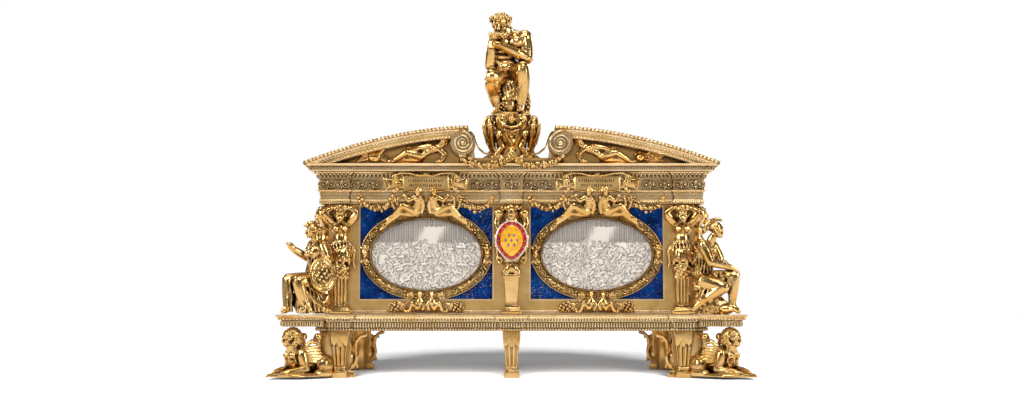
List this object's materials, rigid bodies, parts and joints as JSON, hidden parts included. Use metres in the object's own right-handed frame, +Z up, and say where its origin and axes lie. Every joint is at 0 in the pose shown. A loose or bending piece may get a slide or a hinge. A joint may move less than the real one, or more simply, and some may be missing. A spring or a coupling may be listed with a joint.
{
  "type": "reliquary casket",
  "caption": "Rectangular gilt casket on legs, with stone panels, oval crystal plaques, carved herms and corner figures, and a lift-off curved lid with a seated figure.",
  "frame": {"origin": "on the floor, under the middle of the chest", "axes": "+Z up, the front with the shield and the tablets faces -Y, +X runs along the length"},
  "size_m": [0.5152, 0.3334, 0.4225],
  "materials": {
    "gilt_silver": "fire-gilt silver, burnished, dark in the recesses",
    "lapis": "polished lapis lazuli with gold flecks",
    "rock_crystal": "polished rock crystal over silver foil, engraved",
    "enamel": "translucent enamel on gold"
  },
  "bodies": {
    "root": {"plinth_moulding": "gilt_silver", "chest_walls": "gilt_silver", "entablature": "gilt_silver", "lapis_panel_front_left": "lapis", "lapis_panel_front_right": "lapis", "lapis_panel_right": "lapis", "lapis_panel_back_right": "lapis", "lapis_panel_back_left": "lapis", "lapis_panel_left": "lapis", "crystal_front_left": "rock_crystal", "crystal_front_right": "rock_crystal", "crystal_right": "rock_crystal", "crystal_back_right": "rock_crystal", "crystal_back_left": "rock_crystal", "crystal_left": "rock_crystal", "oval_frame_front_left": "gilt_silver", "oval_frame_front_right": "gilt_silver", "oval_frame_right": "gilt_silver", "oval_frame_back_right": "gilt_silver", "oval_frame_back_left": "gilt_silver", "oval_frame_left": "gilt_silver", "herm_front_left": "gilt_silver", "herm_front_right": "gilt_silver", "herm_back_left": "gilt_silver", "herm_back_right": "gilt_silver", "herm_right_side_front": "gilt_silver", "herm_right_side_back": "gilt_silver", "herm_left_side_front": "gilt_silver", "herm_left_side_back": "gilt_silver", "centre_herm_front": "gilt_silver", "centre_herm_back": "gilt_silver", "enamel_shield_front": "enamel", "enamel_shield_back": "enamel", "corner_support_front_right": "gilt_silver", "corner_support_front_left": "gilt_silver", "corner_support_back_right": "gilt_silver", "corner_support_back_left": "gilt_silver", "centre_leg_front": "gilt_silver", "centre_leg_back": "gilt_silver", "sphinx_front_right": "gilt_silver", "sphinx_front_left": "gilt_silver", "sphinx_back_right": "gilt_silver", "sphinx_back_left": "gilt_silver", "seated_woman_front": "gilt_silver", "seated_woman_back": "gilt_silver", "seated_warrior_front": "gilt_silver", "seated_warrior_back": "gilt_silver", "lid": "gilt_silver", "reclining_bird_front_left": "gilt_silver", "reclining_bird_back_left": "gilt_silver", "reclining_trophy_front_right": "gilt_silver", "reclining_trophy_back_right": "gilt_silver", "lid_garland_front": "gilt_silver", "lid_garland_back": "gilt_silver", "pedestal": "gilt_silver", "statue": "gilt_silver"}
  },
  "joints": []
}
